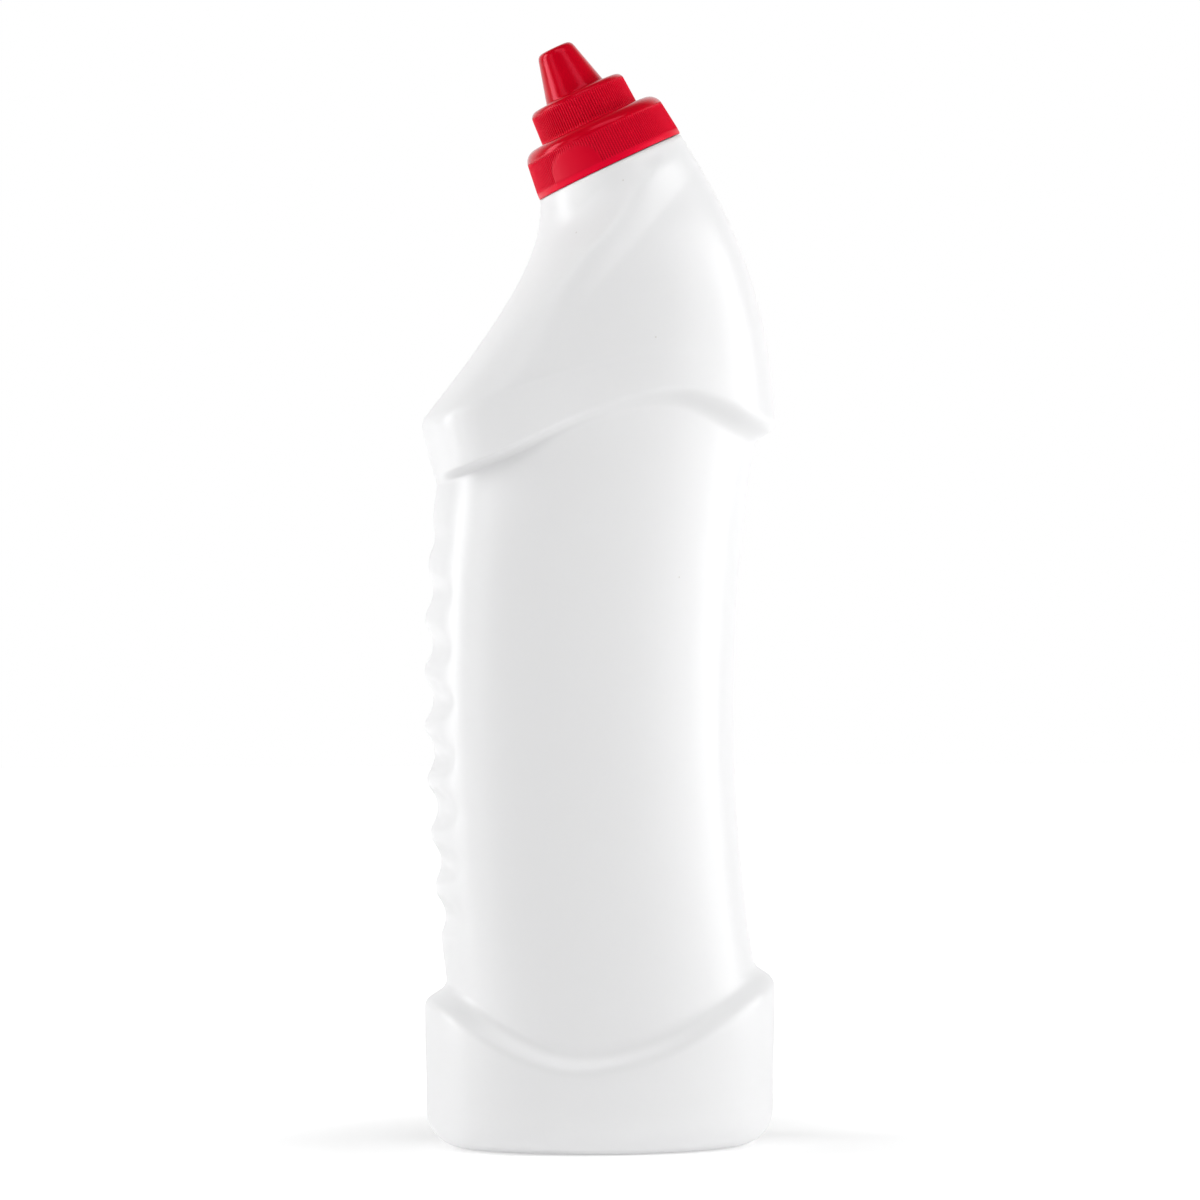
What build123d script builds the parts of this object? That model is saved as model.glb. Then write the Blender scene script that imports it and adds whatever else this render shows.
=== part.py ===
from build123d import *
import math
import os

# A bent-neck squeeze bottle with a tiered screw cap. Lengths are in millimetres.
# +Z is up, +X points to the back of the bottle and -X to the grip side.
# The origin is the middle of the base on the surface that the bottle stands on,
# and the bottle is the same on both sides of the XZ plane.

# Blow-moulded bottle, outside sizes
wall = 1.0
base_length = 91.4
base_depth = 62.0
base_corner = 9.5
base_side_corner = 7.0
base_taper = 0.5
base_front_height = 36.5
base_back_height = 41.4
smile_dip = 18.6
smile_low_point = 0.42
base_step_rise = 7.5
front_waist_step = 5.6
back_waist_step = 5.7
waist_depth = 57.0
waist_front_top = 172.0
waist_back_top = 181.2
waist_top_step = 3.2
grip_swell = 4.3
back_hollow = 5.2
arch_rise = 13.1
arch_high_point = 0.64
arch_sharpness = 1.4
head_step_rise = 7.8
head_back_step = 5.8
chin_height = 188.5
chin_overhang = 3.0
chin_undercut = 0.4
chin_radius = 2.7
head_depth = 60.4
cheek_top_depth = 48.0
slope_lean = 37.8
back_lean = 33.6
overhang_lean = -4.8
crease_angle = 19.3
crease_blend = 2.0
crease_bow = 0.29

# Squareness of the sections: 0 is an ellipse
squareness = 0.13
foot_squareness = -0.08

# How far a side-view curve holds its lean at an end, as a share of its length
even_pull = 1 / 3
corner_pull = 0.39
step_pull = 0.42
brow_pull = 0.45
slope_low_pull = 0.7
slope_top_pull = 0.18
back_low_pull = 0.18
back_top_pull = 0.52

# Where the back of the head passes the chin and the brow, what is left of the arch there,
# and from where the head's sections turn into the ring
back_at_chin = 0.12
back_at_brow = 0.2
arch_at_chin = 0.85
arch_at_brow = 0.73
arch_fade = 1.5
rounding_start = 0.55

# Ring under the cap, where the bent neck ends
ring_x = 2.6
ring_height = 254.9
ring_tilt = 25.6
ring_radius = 20.1

# Recess under the base
foot_width = 3.0
recess_height = 3.5
recess_slope = 4.5
recess_knee = 0.35

# Finger scoops on the grip side
scoop_count = 8
scoop_pitch = 14.13
scoop_first_height = 59.7
scoop_radius = 7.3
scoop_wrap_radius = 56.0
scoop_droop = 14.0
scoop_floor_reach = 43.5
scoop_floor_height = 131.0
scoop_floor_radius = 780.0

# Neck finish, measured along the tilted neck axis from the cap's lower edge
cap_seat_gap = 0.3
neck_radius = 10.9
bore_radius = 9.6
neck_height = 17.9
shoulder_radius = 17.9
shoulder_rise = 2.4
shoulder_bulge = 0.9
throat_wall = 1.4
throat_reach = 5.0

# Nozzle insert
plug_clearance = 0.05
plug_length = 7.0
insert_wall = 0.9
flange_thickness = 1.0
spout_base_radius = 6.9
spout_tip_radius = 3.0
spout_height = 12.2
orifice_radius = 1.5
orifice_length = 1.35

# Sealing washer between the insert's flange and the cap
washer_thickness = 0.8
washer_inner_radius = 7.7
seal_clearance = 0.1

# Cap
cap_wall = 1.4
skirt_radius = 20.2
skirt_rim = 1.5
skirt_height = 8.8
skirt_draft = 0.9
tier_radius = 13.5
tier_start = 12.3
tier_height = 6.9
tier_draft = 0.4
tier_dome = 2.1
tier_edge = 2.4
tier_lip = 0.2
dome_bulge = 0.9
dome_drop = 1.2
crown_bulge = 0.55
sleeve_wall = 1.3
sleeve_start = 3.3
thread_room = 1.0
cone_base_radius = 8.1
cone_tip_radius = 4.7
cone_height = 12.7
cone_tip_round = 1.2
cone_tip_bulge = 0.32
cone_wall = 1.2
tip_wall = 1.45
rib_depth = 0.35
rib_root = 0.02
rib_overrun = 0.25
skirt_ribs = 180
tier_ribs = 120
pad_angle = -123.0
pad_width = 15.0
pad_top = 8.9
pad_spring = 3.1
pad_raise = 0.12
lug_width = 12.0
lug_height = 3.0
lug_depth = 1.4
lug_gap = 0.3
lug_low = 0.5
lug_root = 0.3
lug_lag = -18.0

# Fineness of the blown skin: steps round half of each section, and the step for normals
section_points = 14
waist_sections = 10
normal_step = 1e-3


def lean_vector(lean):
    """Direction in the side view that leans from +Z towards +X by an angle in degrees."""
    return Vector(math.sin(math.radians(lean)), math.cos(math.radians(lean)))


def flow(start, start_lean, end, end_lean, pull=even_pull, end_pull=None):
    """Smooth side-view curve between two points that leaves and arrives at given leans."""
    start, end = Vector(*start), Vector(*end)
    span = (end - start).length
    near = start + lean_vector(start_lean) * (pull * span)
    far = end - lean_vector(end_lean) * ((end_pull or pull) * span)

    def at(t):
        u = 1 - t
        return start * u**3 + near * (3 * u * u * t) + far * (3 * u * t * t) + end * t**3

    return at


def part_of(curve, first, last):
    return lambda t: curve(first + (last - first) * t)


def ease(t):
    return t * t * (3 - 2 * t)


def between(first, last):
    return lambda t: first + (last - first) * ease(t)


def bump(share, peak, power):
    """Hump along a section: 1 at its peak and 0 at both ends."""
    away = (share - peak) / (1 - peak) if share > peak else (peak - share) / peak
    return max(math.cos(math.pi / 2 * min(away, 1)), 0) ** power


neck_axis = Vector(-math.sin(math.radians(ring_tilt)), 0, math.cos(math.radians(ring_tilt)))
neck_across = Vector(math.cos(math.radians(ring_tilt)), 0, math.sin(math.radians(ring_tilt)))
neck_plane = Plane(origin=(ring_x, 0, ring_height), x_dir=neck_across, z_dir=neck_axis)


def ring_point(side):
    """Front (-1) or back (+1) point of the ring that the cap sits over, in the side view."""
    point = neck_plane.origin - neck_axis * cap_seat_gap + neck_across * (side * ring_radius)
    return (point.X, point.Z)


def crease_run():
    """How far the crease on the side of the head runs back and up, from the chin to the ring."""
    ring_back = ring_point(1)
    return ring_back[0] + base_length / 2, ring_back[1] - chin_height


def crease_x(height):
    """Where the crease lies at a height."""
    run, rise = crease_run()
    share = (height - chin_height) / rise
    return -base_length / 2 + run * ((1 + crease_bow) * share - crease_bow * share * share)


def steady(value):
    return lambda t: value


def body_zones():
    """Zones from the foot to the ring: front and back outline, half depth, squareness,
    weight of the base's smile and of the head's arch, and how many sections."""
    half = base_length / 2
    top = half - base_taper
    front_waist = -half + front_waist_step
    back_waist = half - back_waist_step
    front_step = base_front_height + base_step_rise
    back_step = base_back_height + base_step_rise
    foot_front = (-top + base_corner, 0)
    foot_back = (top - base_corner, 0)
    grip_top = (-half + waist_top_step, waist_front_top)
    back_top = (back_waist, waist_back_top)
    overhang = (back_waist + head_back_step, waist_back_top + head_step_rise)
    chin_foot = (grip_top[0] - chin_undercut, waist_front_top + chin_overhang)
    chin = (-half, chin_height - chin_radius)
    brow = (-half + math.sin(math.radians(slope_lean)) * chin_radius, chin_height + chin_radius)
    grip_lean = math.degrees(math.atan(4 * grip_swell / (front_step - waist_front_top)))
    hollow_lean = math.degrees(math.atan(4 * back_hollow / (waist_back_top - back_step)))
    chin_lean = math.degrees(math.atan2(chin[0] - chin_foot[0], chin[1] - chin_foot[1]))
    slope = flow(brow, slope_lean, ring_point(-1), 0, slope_low_pull, slope_top_pull)
    back = flow(overhang, overhang_lean, ring_point(1), -back_lean, back_low_pull, back_top_pull)
    foot_depth = base_depth / 2 - base_taper
    side_view = steady(squareness)
    return [
        (flow(foot_front, -90, (-top, base_corner), 0, corner_pull),
         flow(foot_back, 90, (top, base_corner), 0, corner_pull),
         lambda t: foot_depth - base_side_corner * (1 - math.sin(math.pi / 2 * t)),
         lambda t: foot_squareness + (squareness - foot_squareness) * math.sin(math.pi / 2 * t),
         steady(0), steady(0), 4),
        (flow((-top, base_corner), 0, (-half, base_front_height), 0),
         flow((top, base_corner), 0, (half, base_back_height), 0),
         between(foot_depth, base_depth / 2), side_view, lambda t: t, steady(0), 3),
        (flow((-half, base_front_height), 0, (front_waist, front_step), grip_lean, step_pull),
         flow((half, base_back_height), 0, (back_waist, back_step), -hollow_lean, step_pull),
         between(base_depth / 2, waist_depth / 2), side_view, steady(1), steady(0), 7),
        (flow((front_waist, front_step), grip_lean, grip_top, -grip_lean),
         flow((back_waist, back_step), -hollow_lean, back_top, hollow_lean),
         steady(waist_depth / 2), side_view, lambda t: 1 - t, lambda t: t, waist_sections),
        (flow(grip_top, chin_lean, chin_foot, chin_lean),
         flow(back_top, hollow_lean, overhang, overhang_lean, step_pull),
         between(waist_depth / 2, head_depth / 2), side_view, steady(0), steady(1), 7),
        (flow(chin_foot, chin_lean, chin, chin_lean), part_of(back, 0, back_at_chin),
         steady(head_depth / 2), side_view, steady(0), lambda t: 1 + (arch_at_chin - 1) * t, 3),
        (flow(chin, chin_lean, brow, slope_lean, brow_pull),
         part_of(back, back_at_chin, back_at_brow),
         steady(head_depth / 2), side_view, steady(0),
         lambda t: arch_at_chin + (arch_at_brow - arch_at_chin) * t, 4),
        (slope, part_of(back, back_at_brow, 1),
         lambda t: head_depth / 2 + (cheek_top_depth - head_depth) / 2 * t,
         lambda t: squareness * (1 - t), steady(0),
         lambda t: arch_at_brow * (1 - t) ** arch_fade, 14),
    ]


def outline_normal(curve, t, side):
    """Inward normal of an outline in the side view."""
    run = curve(min(t + normal_step, 1)) - curve(max(t - normal_step, 0))
    return Vector(run.Y, -run.X).normalized() * side


def closed_ring(points):
    """Closed section from the points of its -Y side, which run from the front to the back.
    At both ends the section crosses the XZ plane squarely, at the speed that its points have."""
    last = len(points) - 1
    spread = [step / last for step in range(last + 1)]

    def end_speed(first, second):
        return (8 * first.Y - second.Y) / 6 * last

    ends = [Vector(0, end_speed(points[1], points[2]), 0),
            Vector(0, -end_speed(points[-2], points[-3]), 0)]
    mirrored = [Vector(point.X, -point.Y, point.Z) for point in reversed(points)]
    return Wire([Edge.make_spline(points, tangents=ends, parameters=spread, scale=False),
                 Edge.make_spline(mirrored, tangents=ends[::-1], parameters=spread, scale=False)])


def half_turn():
    """Direction of each step round half of a section, as (along, across)."""
    angles = [math.pi * step / section_points for step in range(section_points + 1)]
    across = [0] + [math.sin(angle) for angle in angles[1:-1]] + [0]
    return list(zip([math.cos(angle) for angle in angles], across))


def section(zone, t, inset, last):
    """Section of the body at one height, moved inwards by the inset."""
    front, back, half_depth, square_at, smile, arch, _ = zone
    front_normal = outline_normal(front, t, 1)
    front_point = front(t) + front_normal * inset
    back_point = back(t) + outline_normal(back, t, -1) * inset
    depth = half_depth(t) - inset * abs(front_normal.X)
    square = square_at(t)
    round_off = ease(max(0, (t - rounding_start) / (1 - rounding_start))) if last else 0
    run, rise = crease_run()
    crease_slope = 2 * math.tan(math.radians(crease_angle)) / base_depth
    points = []
    for along, across in half_turn():
        share = (1 - along * (1 + square * across * across)) / 2
        place = front_point + (back_point - front_point) * share
        height = place.Y - smile_dip * smile(t) * bump(share, smile_low_point, 1)
        height += arch_rise * arch(t) * bump(share, arch_high_point, arch_sharpness)
        side = depth * across * (1 + square * along * along)
        if height > chin_height - 3 * chin_radius:
            away = (crease_x(height) - place.X) * rise / math.hypot(run, rise) / crease_blend
            side *= 1 - crease_slope * crease_blend * math.log1p(math.exp(away))
        side = side * (1 - round_off) + (ring_radius - inset) * across * round_off
        points.append(Vector(place.X, -side, height))
    return closed_ring(points)


def skin(inset):
    """Solid inside the outer skin, or inside the inner skin when inset by the wall."""
    zones = body_zones()
    sections = []
    for zone in zones:
        last = zone is zones[-1]
        count = zone[-1]
        for step in range(count + 1 if last else count):
            sections.append(section(zone, step / count, inset, last))
    return Solid.make_loft(sections)


def scooped(body, tube_radius):
    for cutter in scoop_cutters(tube_radius):
        body = body.cut(cutter)
    return body


def scoop_cutters(tube_radius):
    """Rings that wrap round the grip side, one for each finger."""
    droop = math.radians(scoop_droop)
    inward = Vector(math.cos(droop), 0, -math.sin(droop))
    normal = Vector(math.sin(droop), 0, math.cos(droop))
    cutters = []
    for finger in range(scoop_count):
        height = scoop_first_height + finger * scoop_pitch
        floor = -scoop_floor_reach + (height - scoop_floor_height) ** 2 / (2 * scoop_floor_radius)
        nearest = Vector(floor - scoop_radius, 0, height)
        centre = nearest + inward * scoop_wrap_radius
        ring = Solid.make_torus(scoop_wrap_radius, tube_radius)
        cutters.append(ring.moved(Plane(origin=centre, x_dir=inward, z_dir=normal).location))
    return cutters


def oval(half_length, half_depth, height):
    square = foot_squareness
    return closed_ring([Vector(-half_length * along * (1 + square * across**2),
                               -half_depth * across * (1 + square * along**2), height)
                        for along, across in half_turn()])


def recess(grow):
    """Push-up in the underside, so that the bottle stands on a ring of the base."""
    length = base_length / 2 - base_taper - base_corner - foot_width
    depth = base_depth / 2 - base_taper - base_side_corner - foot_width
    return Solid.make_loft([
        oval(length + 2 * grow, depth + 2 * grow, -grow),
        oval(length + grow, depth + grow, recess_knee * (recess_height + grow)),
        oval(length + grow - recess_slope, depth + grow - recess_slope, recess_height + grow)])


def turned(profile):
    """Solid of revolution about the neck axis from a closed (radius, height) profile."""
    return Solid(revolve(profile, Axis.Z).wrapped)


def bulged(start, end, bulge):
    """Arc of a profile that bulges away from the neck axis."""
    start, end = Vector(*start), Vector(*end)
    chord = end - start
    middle = (start + end) / 2 + Vector(chord.Y, -chord.X).normalized() * bulge
    return ThreePointArc(start, middle, end)


def neck_outside():
    base = -cap_seat_gap
    return turned(Plane.XZ * make_face([
        Polyline((0, base), (shoulder_radius, base)),
        bulged((shoulder_radius, base), (neck_radius, shoulder_rise), shoulder_bulge),
        Polyline((neck_radius, shoulder_rise), (neck_radius, neck_height),
                 (0, neck_height), (0, base))]))


def neck_inside():
    low = -cap_seat_gap - throat_reach
    wide = ring_radius - 2 * wall
    outline = Polyline((0, low), (wide, low), (wide, -cap_seat_gap - throat_wall),
                       (shoulder_radius - 2 * wall, 0), (bore_radius, shoulder_rise - wall),
                       (bore_radius, neck_height + wall), (0, neck_height + wall), (0, low))
    return turned(Plane.XZ * make_face(outline))


def lug(inner, outer, low, angle):
    """Lock lug: a short arc-shaped block between two radii."""
    block = Solid.make_cylinder(outer, lug_height) - Solid.make_cylinder(inner, lug_height)
    keep = Solid.make_box(2 * outer, lug_width, lug_height)
    keep = keep.moved(Location((0, -lug_width / 2, 0)))
    piece = block & keep
    return piece.moved(Location((0, 0, low))).rotate(Axis.Z, angle)


def lock_lug_angles(lag):
    return [pad_angle + 90 + lag, pad_angle + 270 + lag]


def bottle():
    outside = skin(0)
    outside = scooped(outside, scoop_radius).cut(recess(0))
    neck = neck_outside()
    reach = skirt_radius - cap_wall - lug_depth - lug_gap
    for angle in lock_lug_angles(lug_lag):
        neck = neck.fuse(lug(reach - 2 * lug_depth, reach, -cap_seat_gap, angle))
    outside = outside.fuse(neck.moved(neck_plane.location))
    lid = Solid.make_cylinder(2 * ring_radius, 4 * wall)
    lid = lid.moved(neck_plane.location * Location((0, 0, -cap_seat_gap - throat_wall)))
    inside = skin(wall)
    inside = scooped(inside.cut(lid), scoop_radius + wall).cut(recess(wall))
    inside = inside.fuse(neck_inside().moved(neck_plane.location))
    return outside.cut(inside)


flange_top = neck_height + flange_thickness
washer_top = flange_top + washer_thickness
cap_shoulder = washer_top + seal_clearance
tier_end = tier_start + tier_height
tier_top = tier_end + tier_dome
cap_top = tier_top + cone_height
sleeve_bore = neck_radius + thread_room


def nozzle_insert():
    plug = bore_radius - plug_clearance
    tip = flange_top + spout_height
    outline = Polyline(
        (plug - insert_wall, neck_height - plug_length), (plug, neck_height - plug_length),
        (plug, neck_height), (neck_radius, neck_height), (neck_radius, flange_top),
        (spout_base_radius, flange_top), (spout_tip_radius, tip), (orifice_radius, tip),
        (orifice_radius, tip - orifice_length),
        (spout_base_radius - insert_wall, flange_top), (plug - insert_wall, neck_height),
        (plug - insert_wall, neck_height - plug_length))
    return turned(Plane.XZ * make_face(outline)).moved(neck_plane.location)


def seal_washer():
    outline = Polyline((washer_inner_radius, flange_top), (neck_radius, flange_top),
                       (neck_radius, washer_top), (washer_inner_radius, washer_top),
                       (washer_inner_radius, flange_top))
    return turned(Plane.XZ * make_face(outline)).moved(neck_plane.location)


def ribbed_band(count, low_radius, low, high_radius, high):
    """Ring of fine upright ribs, as one drafted solid with a star-shaped section."""
    def star(radius, height):
        corners = []
        for step in range(2 * count):
            reach = radius - (step % 2) * rib_depth
            angle = math.pi * step / count
            corners.append((reach * math.cos(angle), reach * math.sin(angle), height))
        return Wire.make_polygon([Vector(*corner) for corner in corners], close=True)
    return Solid.make_loft([star(low_radius, low), star(high_radius, high)], ruled=True)


def cap_outside():
    core = skirt_radius - rib_depth - rib_root
    tier_core = tier_radius - rib_depth - rib_root
    dome_foot = (skirt_radius - skirt_draft, skirt_height)
    dome_top = (tier_radius + tier_lip, tier_start)
    crown_foot = (tier_radius - tier_draft, tier_end)
    crown_top = (tier_radius - tier_draft - tier_edge, tier_top)
    cone_lean = (cone_base_radius - cone_tip_radius) / cone_height
    tip_foot = (cone_tip_radius + cone_lean * cone_tip_round, cap_top - cone_tip_round)
    tip_top = (cone_tip_radius - cone_tip_round, cap_top)
    return turned(Plane.XZ * make_face([
        Polyline((0, 0), (skirt_radius, 0), (skirt_radius, skirt_rim), (core, skirt_rim),
                 (core - skirt_draft, skirt_height), dome_foot),
        bulged(dome_foot, dome_top, dome_bulge),
        Polyline(dome_top, (tier_core, tier_start), (tier_core - tier_draft, tier_end), crown_foot),
        bulged(crown_foot, crown_top, crown_bulge),
        Polyline(crown_top, (cone_base_radius, tier_top), tip_foot),
        bulged(tip_foot, tip_top, cone_tip_bulge),
        Polyline(tip_top, (0, cap_top), (0, 0))]))


def squeeze_pads():
    """Two smooth arched pads on the ribbed skirt, one on each side."""
    inner = skirt_radius - skirt_draft - 2 * rib_depth
    outer = skirt_radius + pad_raise
    shell = turned(Plane.XZ * make_face(Polyline(
        (inner, skirt_rim / 2), (outer, skirt_rim / 2), (outer - skirt_draft, pad_top),
        (inner, pad_top), (inner, skirt_rim / 2))))
    arch = make_face([
        Polyline((-pad_width / 2, pad_spring), (-pad_width / 2, skirt_rim / 2),
                 (pad_width / 2, skirt_rim / 2), (pad_width / 2, pad_spring)),
        ThreePointArc((pad_width / 2, pad_spring), (0, pad_top), (-pad_width / 2, pad_spring))])
    window = extrude(Plane.YZ * arch, amount=2 * skirt_radius)
    pads = []
    for angle in (pad_angle, pad_angle + 180):
        pads += (shell & window.rotate(Axis.Z, angle)).solids()
    return pads


def cap_inside():
    skirt_bore = skirt_radius - cap_wall
    sleeve = sleeve_bore + sleeve_wall
    cone_lean = (cone_base_radius - cone_tip_radius) / cone_height
    hollow_top = cap_top - tip_wall
    dome_foot = (skirt_bore - skirt_draft, skirt_height - dome_drop)
    dome_top = (sleeve, tier_start - cap_wall)
    ring = turned(Plane.XZ * make_face([
        Polyline(dome_top, (sleeve, -cap_wall), (skirt_bore, -cap_wall), dome_foot),
        bulged(dome_foot, dome_top, dome_bulge)]))
    bore = turned(Plane.XZ * make_face(Polyline(
        (0, -cap_wall), (sleeve_bore, -cap_wall), (sleeve_bore, cap_shoulder),
        (cone_base_radius - cone_wall + cone_lean * (tier_top - cap_shoulder), cap_shoulder),
        (cone_tip_radius - cone_wall + cone_lean * (cap_top - hollow_top), hollow_top),
        (0, hollow_top), (0, -cap_wall))))
    below_sleeve = Solid.make_cylinder(sleeve + rib_root, sleeve_start + cap_wall)
    return [ring, bore, below_sleeve.moved(Location((0, 0, -cap_wall)))]


def cap():
    body = cap_outside()
    skirt = ribbed_band(skirt_ribs, skirt_radius, skirt_rim - rib_overrun,
                        skirt_radius - skirt_draft, skirt_height)
    tier = ribbed_band(tier_ribs, tier_radius, tier_start - rib_overrun,
                       tier_radius - tier_draft, tier_end)
    body = body.fuse(skirt, tier, *squeeze_pads())
    body = body.cut(*cap_inside())
    reach = skirt_radius - cap_wall
    for angle in lock_lug_angles(0):
        body = body.fuse(lug(reach - lug_depth, reach + lug_root, lug_low, angle))
    return body.moved(neck_plane.location)


os.makedirs("parts", exist_ok=True)
for name, make in (("bottle", bottle), ("nozzle_insert", nozzle_insert),
                   ("seal_washer", seal_washer), ("cap", cap)):
    shape = make()
    export_step(shape, f"parts/{name}.step")
    print(name, round(shape.volume, 1), len(shape.faces()), shape.is_valid)
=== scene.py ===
import math
import bpy
import numpy as np
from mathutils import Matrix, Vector


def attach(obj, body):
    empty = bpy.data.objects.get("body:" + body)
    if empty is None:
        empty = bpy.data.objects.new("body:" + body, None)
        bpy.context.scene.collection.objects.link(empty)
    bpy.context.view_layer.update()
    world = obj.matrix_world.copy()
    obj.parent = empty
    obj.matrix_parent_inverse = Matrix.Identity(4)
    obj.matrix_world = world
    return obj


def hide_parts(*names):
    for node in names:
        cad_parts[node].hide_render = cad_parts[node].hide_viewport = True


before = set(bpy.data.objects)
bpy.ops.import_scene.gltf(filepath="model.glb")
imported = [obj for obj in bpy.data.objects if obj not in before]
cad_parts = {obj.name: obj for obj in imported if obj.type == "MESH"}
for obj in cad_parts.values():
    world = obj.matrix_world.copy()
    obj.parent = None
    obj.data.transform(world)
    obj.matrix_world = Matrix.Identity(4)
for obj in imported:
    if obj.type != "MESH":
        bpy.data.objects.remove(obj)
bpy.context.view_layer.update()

# The bottle's looks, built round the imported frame. Shapes are worked out in millimetres
# and turned into metres when a mesh is made.
print("frame loaded:", ", ".join(sorted(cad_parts)))
millimetre = 0.001
fullTurn = 2 * math.pi

neckFrame = {
    "ringX": 2.6, "ringHeight": 254.9, "ringTilt": 25.6,  # ring that the cap sits over
    "ringRadius": 20.1, "capSeatGap": 0.3, "frontSeatGap": 0.1,
}
neckTilt = math.radians(neckFrame["ringTilt"])
neckAxis = np.array([-math.sin(neckTilt), 0, math.cos(neckTilt)])
neckAcross = np.array([math.cos(neckTilt), 0, math.sin(neckTilt)])
neckCentre = np.array([neckFrame["ringX"], 0, neckFrame["ringHeight"]])


# Meshes

def addObject(name, points, faces, materialName, body):
    mesh = bpy.data.meshes.new(name)
    mesh.from_pydata((np.asarray(points) * millimetre).tolist(), [], faces)
    mesh.polygons.foreach_set("use_smooth", [True] * len(mesh.polygons))
    mesh.materials.append(bpy.data.materials[materialName])
    piece = bpy.data.objects.new(name, mesh)
    bpy.context.scene.collection.objects.link(piece)
    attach(piece, body)
    return piece


# Points and faces of rings joined in order, closed by a point at each end
def closedSurface(rings, first, last):
    count, columns = rings.shape[:2]
    points = np.concatenate([rings.reshape(-1, 3), [first, last]])
    faces = []
    for row in range(count - 1):
        low, high = row * columns, (row + 1) * columns
        for column in range(columns):
            beside = (column + 1) % columns
            faces.append((low + column, low + beside, high + beside, high + column))
    start, top = count * columns, (count - 1) * columns
    for column in range(columns):
        beside = (column + 1) % columns
        faces.append((start, beside, column))
        faces.append((start + 1, top + column, top + beside))
    return points, faces


def joined(parts):
    points, faces, offset = [], [], 0
    for somePoints, someFaces in parts:
        points.append(somePoints)
        faces += [tuple(corner + offset for corner in face) for face in someFaces]
        offset += len(somePoints)
    return np.concatenate(points), faces


def ease(t):
    return t * t * (3 - 2 * t)


def fade(value, start, end):
    return ease(np.clip((value - start) / (end - start), 0, 1))


# Corners inside a circular arc that stands out to the right of its chord
def arcCorners(start, end, bulge, count=7):
    start, end = np.array(start, float), np.array(end, float)
    chord = end - start
    half = np.linalg.norm(chord) / 2
    outward = np.array([chord[1], -chord[0]]) / (2 * half)
    radius = (half**2 + bulge**2) / (2 * bulge)
    spread = math.asin(min(1, half / radius))
    corners = []
    for step in range(1, count):
        angle = spread * (2 * step / count - 1)
        along = (radius * math.sin(angle) + half) / (2 * half)
        standing = radius * math.cos(angle) - radius + bulge
        corners.append(tuple(start + chord * along + outward * standing))
    return corners


# Points along a profile of (radius, height, rounding) corners, with the corners rounded
def meridian(corners, spacing, cornerSteps=4):
    path = []
    places = [np.array(corner[:2], float) for corner in corners]
    for index, place in enumerate(places):
        rounding = corners[index][2] if len(corners[index]) > 2 else 0
        if rounding and 0 < index < len(places) - 1:
            before, after = places[index - 1] - place, places[index + 1] - place
            toBefore, toAfter = np.linalg.norm(before), np.linalg.norm(after)
            reach = min(rounding, toBefore / 2.01, toAfter / 2.01)  # roundings never meet
            start = place + before / toBefore * reach
            end = place + after / toAfter * reach
            for step in range(cornerSteps + 1):
                t = step / cornerSteps
                path.append(start * (1 - t)**2 + place * 2 * t * (1 - t) + end * t * t)
        else:
            path.append(place)
    dense = [path[0]]
    for place in path[1:]:
        steps = max(1, math.ceil(np.linalg.norm(place - dense[-1]) / spacing))
        start = dense[-1]
        dense += [start + (place - start) * (step + 1) / steps for step in range(steps)]
    return np.array(dense)


# Points at angles about the neck axis, for one radius or one for each angle
def neckPoint(radius, height, turn):
    across = (radius * np.cos(turn))[:, None] * neckAcross
    sideways = (radius * np.sin(turn))[:, None] * np.array([0, 1, 0])
    return neckCentre + across + sideways + np.reshape(height, (-1, 1)) * neckAxis


# The shader wrapper: maths on values is written with Python's own operators

class Wire:
    def __init__(self, shader, socket):
        self.shader, self.socket = shader, socket

    def maths(self, operation, first, second):
        return self.shader.node("ShaderNodeMath", {"operation": operation}, {0: first, 1: second})

    def __add__(self, other):
        return self.maths("ADD", self, other)

    def __radd__(self, other):
        return self.maths("ADD", other, self)

    def __sub__(self, other):
        return self.maths("SUBTRACT", self, other)

    def __rsub__(self, other):
        return self.maths("SUBTRACT", other, self)

    def __mul__(self, other):
        return self.maths("MULTIPLY", self, other)

    def __rmul__(self, other):
        return self.maths("MULTIPLY", other, self)

    def __gt__(self, other):
        return self.maths("GREATER_THAN", self, other)

    def __lt__(self, other):
        return self.maths("LESS_THAN", self, other)


class Shader:
    def __init__(self, owner):
        owner.use_nodes = True
        self.tree = owner.node_tree
        self.tree.nodes.clear()

    def node(self, kind, settings=None, values=None, output=0):
        made = self.tree.nodes.new(kind)
        for key, value in (settings or {}).items():
            setattr(made, key, value)
        for key, value in (values or {}).items():
            if isinstance(value, Wire):
                self.tree.links.new(value.socket, made.inputs[key])
            else:
                made.inputs[key].default_value = value
        return Wire(self, made.outputs[output]) if len(made.outputs) else made


def grey(value):
    return (value, value, value, 1)


def noise(shader, place, scale, detail=2, roughness=0.5):
    return shader.node("ShaderNodeTexNoise", {}, {
        "Vector": place, "Scale": scale, "Detail": detail, "Roughness": roughness})


def mixed(shader, share, first, second):
    mixNode = {"data_type": "RGBA"}
    return shader.node("ShaderNodeMix", mixNode, {0: share, 6: first, 7: second}, 2)


def bumped(shader, height, strength, distance):
    return shader.node("ShaderNodeBump", {}, {
        "Height": height, "Strength": strength, "Distance": distance})


def finishMaterial(shader, surface):
    shader.node("ShaderNodeOutputMaterial", {}, {"Surface": surface})


# Materials

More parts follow.
